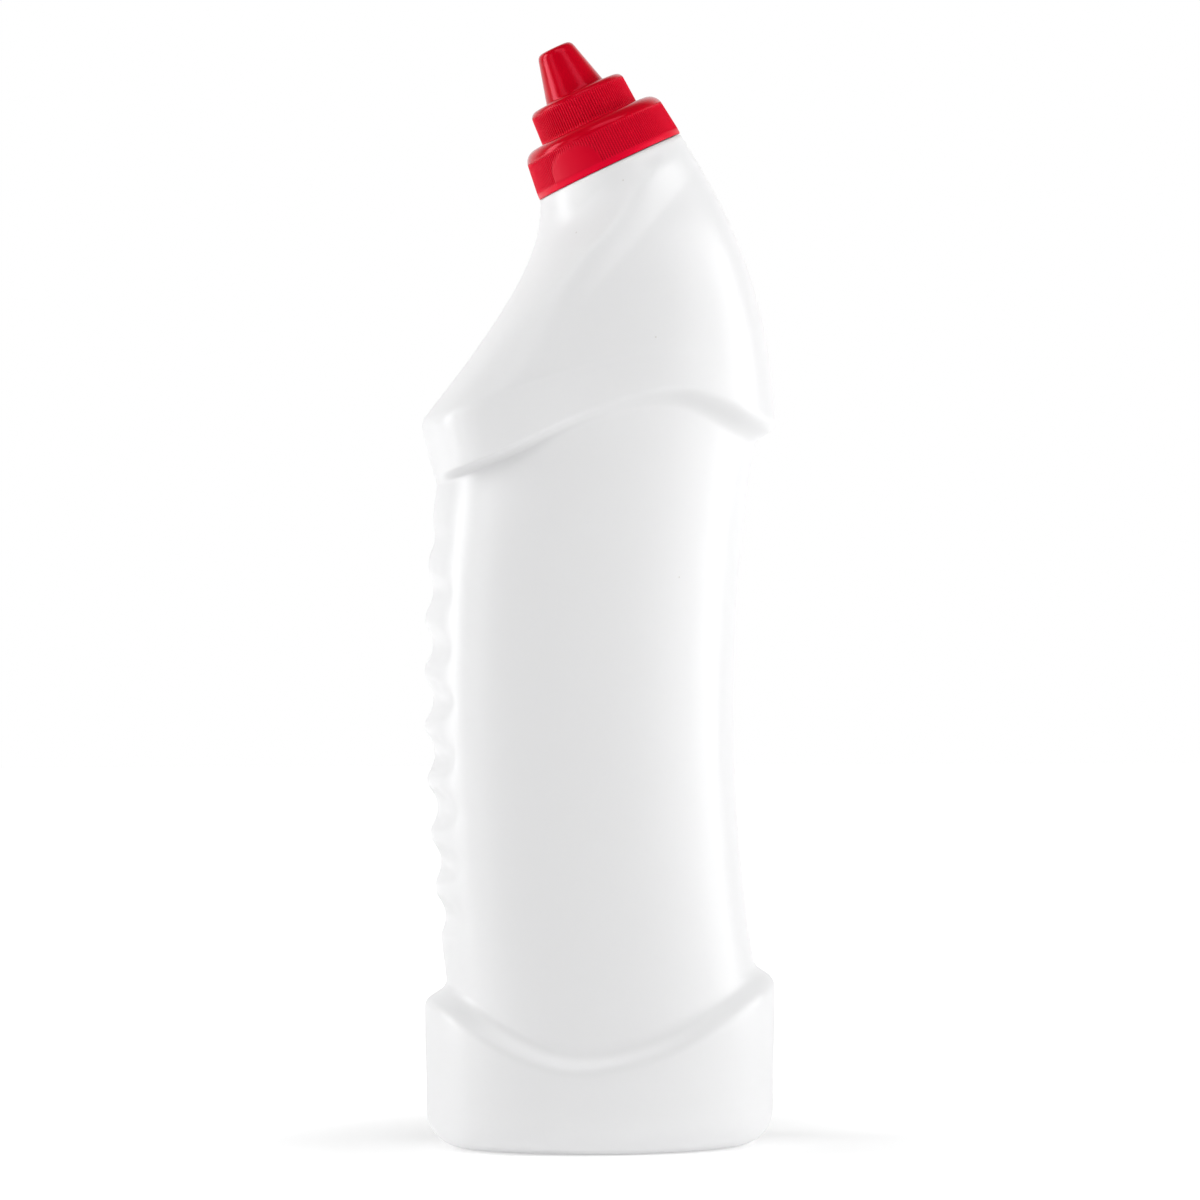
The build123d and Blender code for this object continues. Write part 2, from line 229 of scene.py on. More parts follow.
bottleFinish = {
    "colour": (0.86, 0.86, 0.865, 1), "shade": (0.835, 0.836, 0.842, 1),
    "speck": (0.72, 0.71, 0.69, 1), "speckScale": 60, "speckRadius": 0.016,  # dust in the plastic
    "roughness": 0.3, "roughnessSpread": 0.06, "gloss": 0.5, "refraction": 1.5,
    "cloudScale": 28, "cloudStretch": (1, 1, 0.3), "grainScale": 1500, "partingWidth": 0.00022,
    "grainRelief": 0.5, "cloudRelief": 0.3, "partingRelief": 0.8,
    "reliefStrength": 0.1, "reliefDepth": 0.0001, "milkiness": 0.12, "milkReach": 0.004,
}


def makeBottlePlastic():
    shader = Shader(bpy.data.materials.new("bottlePlastic"))
    place = shader.node("ShaderNodeTexCoord", {}, {}, "Object")
    stretched = shader.node("ShaderNodeMapping", {}, {
        "Vector": place, "Scale": bottleFinish["cloudStretch"]})
    cloud = noise(shader, stretched, bottleFinish["cloudScale"], detail=3)
    grain = noise(shader, place, bottleFinish["grainScale"], roughness=0.6)
    cell = shader.node("ShaderNodeTexVoronoi", {}, {
        "Vector": place, "Scale": bottleFinish["speckScale"], "Randomness": 1.0})
    speck = cell < bottleFinish["speckRadius"]
    tone = mixed(shader, cloud, bottleFinish["colour"], bottleFinish["shade"])
    colour = mixed(shader, speck, tone, bottleFinish["speck"])
    apart = shader.node("ShaderNodeSeparateXYZ", {}, {"Vector": place}, 1)
    fromSeam = shader.node("ShaderNodeMath", {"operation": "ABSOLUTE"}, {0: apart})
    seam = fromSeam < bottleFinish["partingWidth"]
    relief = grain * bottleFinish["grainRelief"] + cloud * bottleFinish["cloudRelief"]
    relief = relief + seam * bottleFinish["partingRelief"]
    strength, depth = bottleFinish["reliefStrength"], bottleFinish["reliefDepth"]
    surface = shader.node("ShaderNodeBsdfPrincipled", {}, {
        "Base Color": colour,
        "Roughness": cloud * bottleFinish["roughnessSpread"] + bottleFinish["roughness"],
        "IOR": bottleFinish["refraction"], "Specular IOR Level": bottleFinish["gloss"],
        "Subsurface Weight": bottleFinish["milkiness"], "Subsurface Scale": 1.0,
        "Subsurface Radius": (bottleFinish["milkReach"],) * 3,
        "Normal": bumped(shader, relief, strength, depth)})
    finishMaterial(shader, surface)


capFinish = {
    "colour": (0.57, 0.0, 0.012, 1), "deep": (0.53, 0.0, 0.009, 1),
    # a lighter red painted on the rib bands as sheen, and a darker red painted between the ribs as
    # shade
    "ribbed": (0.75, 0.0, 0.022, 1), "paintedShade": (0.46, 0.0, 0.007, 1),
    "glossTint": (1.0, 0.1, 0.2, 1), "gloss": 0.65, "refraction": 1.46,
    "roughness": 0.17, "roughnessSpread": 0.04, "satinRoughness": 0.24, "flowScale": 90,
    "grainScale": 900, "glossyGrain": 0.04, "grainStrength": 0.12, "grainDepth": 0.00005,
}


def makeCapPlastic():
    shader = Shader(bpy.data.materials.new("capPlastic"))
    place = shader.node("ShaderNodeTexCoord", {}, {}, "Object")
    flow = noise(shader, place, capFinish["flowScale"], detail=3)
    grain = noise(shader, place, capFinish["grainScale"], detail=3, roughness=0.6)
    # satin is 1 on the bands of ribs, and is also where the red is lightened as painted sheen; the
    # second share is painted shade, darker the deeper a point lies between the ribs, and a set
    # share on the smooth pads
    satin = shader.node("ShaderNodeAttribute", {"attribute_name": "satin"}, {}, "Fac")
    paintedShade = shader.node("ShaderNodeAttribute", {"attribute_name": "paintedShade"}, {}, "Fac")
    tone = mixed(shader, flow, capFinish["colour"], capFinish["deep"])
    # painted sheen: the bands of ribs get a lighter copy of the same red
    tone = mixed(shader, satin, tone, capFinish["ribbed"])
    rough = flow * capFinish["roughnessSpread"] + capFinish["roughness"]
    relief = grain * (satin + capFinish["glossyGrain"])
    surface = shader.node("ShaderNodeBsdfPrincipled", {}, {
        # painted shade: the red darkens between the ribs and on the pads
        "Base Color": mixed(shader, paintedShade, tone, capFinish["paintedShade"]),
        "Roughness": rough + satin * capFinish["satinRoughness"],
        "IOR": capFinish["refraction"], "Specular IOR Level": capFinish["gloss"],
        "Specular Tint": capFinish["glossTint"],
        "Normal": bumped(shader, relief, capFinish["grainStrength"], capFinish["grainDepth"])})
    finishMaterial(shader, surface)


nozzleFinish = {
    "colour": (0.82, 0.83, 0.82, 1), "shade": (0.76, 0.775, 0.77, 1), "flowScale": 120,
    "roughness": 0.3, "roughnessSpread": 0.12, "refraction": 1.51,
    "reliefStrength": 0.1, "reliefDepth": 0.0001, "milkiness": 0.35, "milkReach": 0.002,
}


def makeNozzlePlastic():
    shader = Shader(bpy.data.materials.new("nozzlePlastic"))
    place = shader.node("ShaderNodeTexCoord", {}, {}, "Object")
    flow = noise(shader, place, nozzleFinish["flowScale"], detail=3)
    strength, depth = nozzleFinish["reliefStrength"], nozzleFinish["reliefDepth"]
    surface = shader.node("ShaderNodeBsdfPrincipled", {}, {
        "Base Color": mixed(shader, flow, nozzleFinish["colour"], nozzleFinish["shade"]),
        "Roughness": flow * nozzleFinish["roughnessSpread"] + nozzleFinish["roughness"],
        "IOR": nozzleFinish["refraction"], "Subsurface Weight": nozzleFinish["milkiness"],
        "Subsurface Radius": (nozzleFinish["milkReach"],) * 3, "Subsurface Scale": 1.0,
        "Normal": bumped(shader, flow, strength, depth)})
    finishMaterial(shader, surface)


washerFinish = {
    # a darker grey painted into the pits of the foam as shade
    "poreShade": (0.7, 0.7, 0.69, 1), "colour": (0.82, 0.82, 0.8, 1), "poreScale": 2600,
    "roughness": 0.6, "roughnessSpread": 0.2, "poreStrength": 0.4, "poreDepth": 0.0001,
}


def makeWasherFoam():
    shader = Shader(bpy.data.materials.new("washerFoam"))
    place = shader.node("ShaderNodeTexCoord", {}, {}, "Object")
    cell = shader.node("ShaderNodeTexVoronoi", {}, {
        "Vector": place, "Scale": washerFinish["poreScale"]})
    strength, depth = washerFinish["poreStrength"], washerFinish["poreDepth"]
    surface = shader.node("ShaderNodeBsdfPrincipled", {}, {
        # painted shade: darker in the pits that the bump sinks
        "Base Color": mixed(shader, cell, washerFinish["poreShade"], washerFinish["colour"]),
        "Roughness": cell * washerFinish["roughnessSpread"] + washerFinish["roughness"],
        "Normal": bumped(shader, cell, strength, depth)})
    finishMaterial(shader, surface)


makeBottlePlastic()
makeCapPlastic()
makeNozzlePlastic()
makeWasherFoam()
print("materials made")


# The blown bottle

body = {
    # base band: heights of its upper edge, and the smile that the edge makes at the sides
    "wall": 1.0, "length": 91.4, "depth": 62.0, "corner": 9.5, "sideCorner": 7.0, "taper": 0.5,
    "frontHeight": 36.5, "backHeight": 41.4, "smileDip": 18.6, "smileLowPoint": 0.42,
    # grip: how far it steps in, and how it bows in front and behind
    "stepRise": 7.5, "frontWaistStep": 5.6, "backWaistStep": 5.7, "waistDepth": 57.0,
    "waistFrontTop": 172.0, "waistBackTop": 181.2, "waistTopStep": 3.2,
    "gripSwell": 4.3, "backHollow": 5.2,
    # head: the arch along its lower edge, the chin, and the leans of its outline in degrees
    "archRise": 13.1, "archHighPoint": 0.64, "archSharpness": 1.4,
    "headStepRise": 7.8, "headBackStep": 5.8,
    "chinHeight": 188.5, "chinOverhang": 3.0, "chinUndercut": 0.4, "chinRadius": 2.7,
    "headDepth": 60.4, "cheekTopDepth": 48.0,
    "slopeLean": 37.8, "backLean": 33.6, "overhangLean": -4.8,
    # crease from the chin to the ring, and the cheeks behind it
    "creaseAngle": 33.0, "creaseBlend": 0.7, "creaseBow": 0.09,
    "ridgeHeight": 1.7, "ridgeWidth": 8.0, "ridgeFrom": 0.15, "ridgeFull": 0.45, "ridgeEnd": 0.92,
    "cheekAngle": 12.0, "cheekFrom": 195.0, "cheekTop": 250.0,
    # how square the sections are, and how far each curve holds its first and last direction
    "squareness": 0.13, "headSquareness": 0.42, "footSquareness": -0.08, "squareFade": 0.5,
    "evenPull": 1 / 3, "cornerPull": 0.39, "stepPull": 0.42, "browPull": 0.45,
    "slopeLowPull": 0.7, "slopeTopPull": 0.18, "backLowPull": 0.18, "backTopPull": 0.52,
    "backAtChin": 0.12, "backAtBrow": 0.2, "archAtChin": 0.85, "archAtBrow": 0.73,
    "archFade": 1.5, "roundingStart": 0.55,
    "columns": 208, "frontCrowding": 0.3,  # more columns where the finger scoops are
    "outerRows": (8, 8, 20, 140, 18, 12, 10, 70),  # one count for each zone, foot to neck
    "innerRows": (2, 2, 5, 24, 4, 2, 2, 8), "innerEnd": 0.94,
}
scoops = {
    "count": 8, "pitch": 14.13, "firstHeight": 59.7, "radius": 7.3, "wrapRadius": 56.0,
    "droop": 14.0, "floorReach": 43.5, "floorHeight": 131.0, "floorRadius": 780.0,
    "edgeSoftness": 0.4, "landSlope": 1.3, "landReach": 3.0, "passes": 24,
}
foot = {"width": 3.0, "height": 3.5, "slope": 4.5, "crown": 0.4, "rows": 7}
neck = {
    "radius": 10.9, "bore": 9.6, "height": 17.9, "shoulderRadius": 17.9, "shoulderRise": 2.4,
    "ringInset": 0.3, "stepHeight": 0.8, "stepLean": 0.5, "stepFoot": 0.3, "stepEdge": 0.4,
    "domeRun": 3.0, "domeDrop": 0.5, "domeRounding": 1.5, "rootRise": 0.2, "rootRounding": 1.0,
    "lipEdge": 0.4, "mouthEdge": 0.3, "lipDepth": 0.5, "throatRounding": 0.8, "throatWall": 1.4,
    "threadDepth": 0.65, "threadPitch": 4.2, "threadTurns": 1.9, "threadStart": 5.2,
    "threadWidth": 1.1, "threadCrest": 0.35, "threadRunOut": 0.5,
    "lugInner": 14.3, "lugReach": 17.1, "lugTop": 2.7, "lugWidth": 12.0,
    "lugAngles": (-51.0, 129.0), "spacing": 0.4, "innerSpacing": 2.0,
}


def leanVector(lean):
    return np.array([math.sin(math.radians(lean)), math.cos(math.radians(lean))])


# Smooth curve between two points of the side outline, with its lean from upright at each
def flowCurve(start, startLean, end, endLean, pull=body["evenPull"], endPull=None):
    start, end = np.array(start, float), np.array(end, float)
    span = np.linalg.norm(end - start)
    near = start + leanVector(startLean) * span * pull
    far = end - leanVector(endLean) * span * (endPull or pull)

    def at(t):
        u = 1 - t
        return start * u**3 + near * 3 * u * u * t + far * 3 * u * t * t + end * t**3

    return at


def partOf(curve, first, last):
    return lambda t: curve(first + (last - first) * t)


def between(first, last):
    return lambda t: first + (last - first) * ease(t)


def steady(value):
    return lambda t: value


# Rise to 1 at the peak, and back to 0 at both ends
def hump(share, peak, power):
    away = np.where(share > peak, (share - peak) / (1 - peak), (peak - share) / peak)
    return np.maximum(np.cos(math.pi / 2 * np.minimum(away, 1)), 0) ** power


# Where the skin ends under the cap's ring, at the back or at the front
def ringEnd(side):
    gap = neckFrame["capSeatGap"] if side > 0 else neckFrame["frontSeatGap"]
    point = neckCentre - neckAxis * gap + neckAcross * side * neckFrame["ringRadius"]
    return point[0], point[2]


def creaseRun():
    ringBack = ringEnd(1)
    return ringBack[0] + body["length"] / 2, ringBack[1] - body["chinHeight"]


def creaseX(height):
    run, rise = creaseRun()
    share = (height - body["chinHeight"]) / rise
    bow = body["creaseBow"]
    return -body["length"] / 2 + run * ((1 + bow) * share - bow * share * share)


# Each zone holds its front and back curves, half its depth, its squareness and its shares
# of the smile and the arch, all as functions of t, which runs from 0 up to 1
def bodyZones():
    half = body["length"] / 2
    top = half - body["taper"]
    corner = body["corner"]
    frontHeight, backHeight = body["frontHeight"], body["backHeight"]
    frontWaist = -half + body["frontWaistStep"]
    backWaist = half - body["backWaistStep"]
    frontStep = frontHeight + body["stepRise"]
    backStep = backHeight + body["stepRise"]
    gripTop = (-half + body["waistTopStep"], body["waistFrontTop"])
    backTop = (backWaist, body["waistBackTop"])
    overhang = (backWaist + body["headBackStep"], body["waistBackTop"] + body["headStepRise"])
    chinFoot = (gripTop[0] - body["chinUndercut"], body["waistFrontTop"] + body["chinOverhang"])
    chinRadius, chinHeight = body["chinRadius"], body["chinHeight"]
    chin = (-half, chinHeight - chinRadius)
    slopeLean, overhangLean = body["slopeLean"], body["overhangLean"]
    brow = (-half + math.sin(math.radians(slopeLean)) * chinRadius, chinHeight + chinRadius)
    gripLean = math.degrees(math.atan(4 * body["gripSwell"] / (frontStep - gripTop[1])))
    hollowLean = math.degrees(math.atan(4 * body["backHollow"] / (backTop[1] - backStep)))
    chinLean = math.degrees(math.atan2(chin[0] - chinFoot[0], chin[1] - chinFoot[1]))
    slope = flowCurve(brow, slopeLean, ringEnd(-1), 0, body["slopeLowPull"], body["slopeTopPull"])
    back = flowCurve(overhang, overhangLean, ringEnd(1), -body["backLean"],
                     body["backLowPull"], body["backTopPull"])
    atChin, atBrow = body["backAtChin"], body["backAtBrow"]
    archChin, archBrow = body["archAtChin"], body["archAtBrow"]
    footDepth, baseDepth = body["depth"] / 2 - body["taper"], body["depth"] / 2
    waistDepth, headDepth = body["waistDepth"] / 2, body["headDepth"] / 2
    square, footSquare = body["squareness"], body["footSquareness"]
    headSquare = body["headSquareness"]
    stepPull = body["stepPull"]

    def cornerDepth(t):
        return footDepth - body["sideCorner"] * (1 - math.sin(math.pi / 2 * t))

    return [
        # rounded foot
        (flowCurve((-top + corner, 0), -90, (-top, corner), 0, body["cornerPull"]),
         flowCurve((top - corner, 0), 90, (top, corner), 0, body["cornerPull"]),
         cornerDepth, lambda t: footSquare + (square - footSquare) * math.sin(math.pi / 2 * t),
         steady(0), steady(0)),
        # base band
        (flowCurve((-top, corner), 0, (-half, frontHeight), 0),
         flowCurve((top, corner), 0, (half, backHeight), 0),
         between(footDepth, baseDepth), steady(square), lambda t: t, steady(0)),
        # step in to the grip
        (flowCurve((-half, frontHeight), 0, (frontWaist, frontStep), gripLean, stepPull),
         flowCurve((half, backHeight), 0, (backWaist, backStep), -hollowLean, stepPull),
         between(baseDepth, waistDepth), steady(square), steady(1), steady(0)),
        # grip
        (flowCurve((frontWaist, frontStep), gripLean, gripTop, -gripLean),
         flowCurve((backWaist, backStep), -hollowLean, backTop, hollowLean),
         steady(waistDepth), steady(square), lambda t: 1 - t, lambda t: t),
        # step out to the head
        (flowCurve(gripTop, chinLean, chinFoot, chinLean),
         flowCurve(backTop, hollowLean, overhang, overhangLean, stepPull),
         between(waistDepth, headDepth), between(square, headSquare), steady(0), steady(1)),
        # chin, up to its corner
        (flowCurve(chinFoot, chinLean, chin, chinLean), partOf(back, 0, atChin),
         steady(headDepth), steady(headSquare), steady(0), lambda t: 1 + (archChin - 1) * t),
        # round the chin's corner
        (flowCurve(chin, chinLean, brow, slopeLean, body["browPull"]),
         partOf(back, atChin, atBrow),
         steady(headDepth), steady(headSquare), steady(0),
         lambda t: archChin + (archBrow - archChin) * t),
        # head, up to the ring
        (slope, partOf(back, atBrow, 1),
         lambda t: headDepth + (body["cheekTopDepth"] / 2 - headDepth) * t,
         lambda t: headSquare * (1 - t), steady(0),
         lambda t: archBrow * (1 - t) ** body["archFade"]),
    ]


# Direction into the wall from a point of a curve, on the front (1) or the back (-1)
def inwardNormal(curve, t, side, step=1e-3):
    run = curve(min(t + step, 1)) - curve(max(t - step, 0))
    return np.array([run[1], -run[0]]) / np.linalg.norm(run) * side


def columnAngles():
    even = np.arange(body["columns"]) * fullTurn / body["columns"]
    return even - body["frontCrowding"] * np.sin(even)


# One ring of the skin, at a depth below its outside
def skinRing(zone, t, inset, isLast):
    front, back, halfDepth, squareAt, smile, arch = zone
    frontNormal = inwardNormal(front, t, 1)
    frontPoint = front(t) + frontNormal * inset
    backPoint = back(t) + inwardNormal(back, t, -1) * inset
    depth = halfDepth(t) - inset * abs(frontNormal[0])
    start = body["roundingStart"]
    roundOff = ease(max(0, (t - start) / (1 - start))) if isLast else 0
    along, across = np.cos(columnAngles()), np.sin(columnAngles())
    atBack = min(squareAt(t), body["squareness"])  # the head is squarer in front than behind
    inFront = fade(along, -body["squareFade"], body["squareFade"])
    square = atBack + (squareAt(t) - atBack) * inFront
    share = (1 - along * (1 + square * across**2)) / 2
    x = frontPoint[0] + (backPoint[0] - frontPoint[0]) * share
    z = frontPoint[1] + (backPoint[1] - frontPoint[1]) * share
    z = z - body["smileDip"] * smile(t) * hump(share, body["smileLowPoint"], 1)
    z = z + body["archRise"] * arch(t) * hump(share, body["archHighPoint"], body["archSharpness"])
    side = depth * across * (1 + square * along**2)
    run, rise = creaseRun()
    blend = body["creaseBlend"]
    off = (creaseX(z) - x) * rise / math.hypot(run, rise)  # distance in front of the crease
    onHead = z > body["chinHeight"] - 3 * body["chinRadius"]
    inFrontOf = np.where(onHead, np.logaddexp(0, off / blend), 0)
    behind = np.logaddexp(0, -off / blend) * fade(z, body["cheekFrom"], body["cheekTop"])
    steep = 2 / body["depth"] * blend
    frontTurn = math.tan(math.radians(body["creaseAngle"]))
    cheekTurn = math.tan(math.radians(body["cheekAngle"]))
    side = side * (1 - frontTurn * steep * inFrontOf)
    side = side * (1 - cheekTurn * steep * behind)
    side = side * (1 - roundOff) + (neckFrame["ringRadius"] - inset) * across * roundOff
    if isLast:
        ridge = 1 - np.minimum(np.hypot(off, blend) / body["ridgeWidth"], 1)
        shown = fade(t, body["ridgeFrom"], body["ridgeFull"])
        shown = shown * (1 - fade(t, body["ridgeEnd"], 1))
        side = side + body["ridgeHeight"] * shown * ridge * across
    return np.stack([x, -side, z], axis=1)


# Rings of the skin at a depth below its outside, as far as a share of the last zone
def skinRings(inset, rows, endAt=1.0):
    rings = []
    zones = bodyZones()
    for zone, count in zip(zones, rows):
        isLast = zone is zones[-1]
        for step in range(count + 1 if isLast else count):
            rings.append(skinRing(zone, step / count * (endAt if isLast else 1), inset, isLast))
    return np.array(rings)


def surfaceNormals(rings):
    up = np.gradient(rings, axis=0)
    around = np.roll(rings, -1, axis=1) - np.roll(rings, 1, axis=1)
    normals = np.cross(around, up)
    return normals / (np.linalg.norm(normals, axis=2, keepdims=True) + 1e-12)


# Sinks the skin to the ring-shaped finger scoops, with softly rounded lands
def carveScoops(rings, radius):
    normals = surfaceNormals(rings)
    droop = math.radians(scoops["droop"])
    inward = np.array([math.cos(droop), 0, -math.sin(droop)])
    axis = np.array([math.sin(droop), 0, math.cos(droop)])
    softness = scoops["edgeSoftness"]
    sunk = np.zeros(rings.shape[:2])
    for finger in range(scoops["count"]):
        height = scoops["firstHeight"] + finger * scoops["pitch"]
        rise = height - scoops["floorHeight"]
        floor = -scoops["floorReach"] + rise**2 / (2 * scoops["floorRadius"])
        nearest = np.array([floor - scoops["radius"], 0, height])
        centre = nearest + inward * scoops["wrapRadius"]

        def outside(points):
            offset = points - centre
            lift = offset @ axis
            flat = np.linalg.norm(offset - lift[..., None] * axis, axis=-1)
            return np.hypot(flat - scoops["wrapRadius"], lift) - radius

        gap = outside(rings)
        isNear = (gap < scoops["landReach"]) & (rings[..., 0] < 0)
        depth = np.zeros(rings.shape[:2])
        for _ in range(scoops["passes"]):
            further = np.maximum(-outside(rings - normals * depth[..., None]), 0)
            depth = np.where(isNear, depth + further, 0)
        signed = np.where(gap < 0, depth, -scoops["landSlope"] * gap)
        sunk += np.where(isNear, softness * np.logaddexp(0, signed / softness), 0)
    return rings - normals * sunk[..., None]


def footOval(inset, height):
    angles = columnAngles()
    along, across = np.cos(angles), np.sin(angles)
    square = body["footSquareness"]
    length = body["length"] / 2 - body["taper"] - body["corner"] - inset
    depth = body["depth"] / 2 - body["taper"] - body["sideCorner"] - inset
    x = -length * along * (1 + square * across**2)
    y = -depth * across * (1 + square * along**2)
    return np.stack([x, y, np.full_like(x, height)], axis=1)


# Rings of the push-up in the underside, from near its middle out to the foot
def pushUpRings(lift):
    innerEdge = foot["width"] + foot["slope"]
    rings = []
    for step in range(foot["rows"]):
        share = (step + 0.5) / foot["rows"]
        oval = footOval(innerEdge, foot["height"] + lift)
        oval[:, :2] *= share
        oval[:, 2] += foot["crown"] * (1 - share**2)
        rings.append(oval)
    for step in range(foot["rows"] + 1):
        share = 1 - step / foot["rows"]
        inset, height = foot["width"] + foot["slope"] * share, foot["height"] * ease(share)
        rings.append(footOval(inset, height + lift))
    rings.append(footOval(foot["width"] / 2, lift))
    return rings


# How far the thread stands out of the neck at a height, for every angle
def threadHeight(height, turn):
    out = np.zeros_like(turn)
    end, runOut = neck["threadTurns"] * fullTurn, neck["threadRunOut"]
    for lap in range(math.ceil(neck["threadTurns"]) + 1):
        wound = turn + lap * fullTurn
        inRun = fade(wound, 0, runOut) * (1 - fade(wound, end - runOut, end))
        off = abs(height - neck["threadStart"] - neck["threadPitch"] * wound / fullTurn)
        flank = 1 - fade(off, neck["threadWidth"] * neck["threadCrest"], neck["threadWidth"])
        out = np.maximum(out, neck["threadDepth"] * inRun * flank)
    return out


def neckRings():
    turn = np.mod(columnAngles() + math.pi, fullTurn)
    seat = -neckFrame["capSeatGap"]
    radius, bore, height = neck["radius"], neck["bore"], neck["height"]
    ring, shoulder, rise = neckFrame["ringRadius"], neck["shoulderRadius"], neck["shoulderRise"]
    lip = (bore, height - neck["lipDepth"])
    outside = meridian([
        (ring - neck["ringInset"], seat), (shoulder, seat, neck["stepFoot"]),
        (shoulder - neck["stepLean"], seat + neck["stepHeight"], neck["stepEdge"]),
        (shoulder - neck["domeRun"], rise - neck["domeDrop"], neck["domeRounding"]),
        (radius, rise + neck["rootRise"], neck["rootRounding"]),
        (radius, height, neck["lipEdge"]), (bore, height, neck["mouthEdge"]), lip],
        neck["spacing"])
    inside = meridian([
        lip, (bore, rise - body["wall"], neck["throatRounding"]),
        (shoulder - 2 * body["wall"], 0, neck["throatRounding"]),
        (ring - 2 * body["wall"], seat - neck["throatWall"])], neck["innerSpacing"])
    profile = np.concatenate([outside, inside[1:]])
    rings = []
    for index, (ringRadius, ringHeight) in enumerate(profile):
        spread = np.full_like(turn, ringRadius)
        if abs(ringRadius - radius) < 1e-6 and index:
            spread = spread + threadHeight(ringHeight, turn)
        rings.append(neckPoint(spread, ringHeight, turn))
    return rings


lugShape = {
    "footEdge": 0.4, "topEdge": 0.7, "spacing": 0.5, "sections": 14,
    "endTaper": 0.25, "endSharpness": 8,
}


# Rounded lock lug between two radii, swept a short way round the neck axis
def lugBlock(inner, outer, low, high, width, middleAngle):
    loop = meridian([
        (inner, low), (outer, low, lugShape["footEdge"]),
        (outer, high, lugShape["topEdge"]), (inner, high)], lugShape["spacing"])
    middle = (inner + outer) / 2
    half = width / 2 / outer
    angles = np.linspace(-half, half, lugShape["sections"])
    ends = 1 - lugShape["endTaper"] * np.abs(angles / half) ** lugShape["endSharpness"]
    rings = []
    for angle, full in zip(angles, ends):
        heights = low + (loop[:, 1] - low) * full
        radii = middle + (loop[:, 0] - middle) * full
        rings.append(neckPoint(radii, heights, np.full(len(loop), middleAngle + angle)))
    rings = np.array(rings)
    return closedSurface(rings, rings[0].mean(axis=0), rings[-1].mean(axis=0))


def makeBottle():
    outer = carveScoops(skinRings(0, body["outerRows"]), scoops["radius"])
    innerSkin = skinRings(body["wall"], body["innerRows"], body["innerEnd"])
    inner = carveScoops(innerSkin, scoops["radius"] + body["wall"])
    under = pushUpRings(0)
    inside = pushUpRings(body["wall"])
    rings = np.array(under + list(outer) + neckRings() + list(inner)[::-1] + inside[::-1])
    top = foot["height"] + foot["crown"]
    shell = closedSurface(rings, (0, 0, top), (0, 0, top + body["wall"]))
    lugs = [lugBlock(neck["lugInner"], neck["lugReach"], -neckFrame["capSeatGap"],
                     neck["lugTop"], neck["lugWidth"], math.radians(angle))
            for angle in neck["lugAngles"]]
    points, faces = joined([shell] + lugs)
    piece = addObject("bottle_shell", points, faces, "bottlePlastic", "bottle")
    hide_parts("bottle")
    print("bottle made:", len(faces), "faces")


makeBottle()


# The cap

cap = {
    "skirtRadius": 20.2, "skirtRim": 1.5, "skirtHeight": 8.8, "skirtDraft": 0.9,
    "tierRadius": 13.5, "tierStart": 12.3, "tierHeight": 6.9, "tierDraft": 0.4,
    "tierDome": 2.1, "tierEdge": 1.9, "crownBulge": 0.57, "crownDrop": 0.15,
    "domeEdge": 3.6, "domeEdgeBulge": 1.03, "domeBulge": 0.9, "domeDrop": 1.2,
    "coneBase": 8.1, "coneTip": 4.7, "coneHeight": 12.7, "coneWall": 1.2, "tipWall": 1.45,
    "tipEdge": 1.5, "tipFlat": 0.4, "coneFoot": 0.35, "tierFoot": 0.15, "skirtBreak": 1.2,
    "rimEdge": 0.2, "rimDepth": 0.3, "sleeveEdge": 0.3, "shoulderEdge": 0.4, "hollowEdge": 0.8,
    "wall": 1.4, "sleeveBore": 11.9, "sleeveWall": 1.3, "sleeveStart": 3.3,
    "innerShoulder": 19.8,
    "ribDepth": 0.35, "ribSharpness": 1.5, "skirtRibs": 180, "tierRibs": 120, "ribRunOut": 0.8,
    "skirtRibStart": (-0.1, 0.2), "tierRibStart": (-0.05, 0.35), "tierRibEnd": -0.1,
    "padAngle": -123.0, "padWidth": 15.0, "padTop": 8.9, "padSpring": 3.1,
    # the smooth pads take a set share of the painted shade, which takes back the painted sheen of
    # their band
    "padRaise": 0.12, "padPaintedShade": 4.0, "padEdge": 0.15, "padTopEdge": 0.3,
    "lugDepth": 1.4, "lugOverlap": 0.3, "lugFoot": 0.5, "lugTop": 3.5, "lugWidth": 12.0,
    "lugAngles": (-33.0, 147.0), "columns": 720, "spacing": 0.75, "innerSpacing": 6.0,
}


# 1 inside the two smooth arched pads and 0 outside them
def padShare(turn, height):
    share = np.zeros_like(turn)
    halfWidth = cap["padWidth"] / 2
    for middle in (cap["padAngle"], cap["padAngle"] + 180):
        around = np.mod(turn - math.radians(middle) + math.pi, fullTurn) - math.pi
        sideways = np.abs(around) * cap["skirtRadius"]
        rise = cap["padTop"] - cap["padSpring"]
        top = cap["padSpring"] + rise * np.sqrt(np.clip(1 - (sideways / halfWidth) ** 2, 0, 1))
        inWidth = 1 - fade(sideways, halfWidth - cap["padEdge"], halfWidth + cap["padEdge"])
        share = np.maximum(share, inWidth * (1 - fade(height, top - cap["padTopEdge"], top)))
    return share


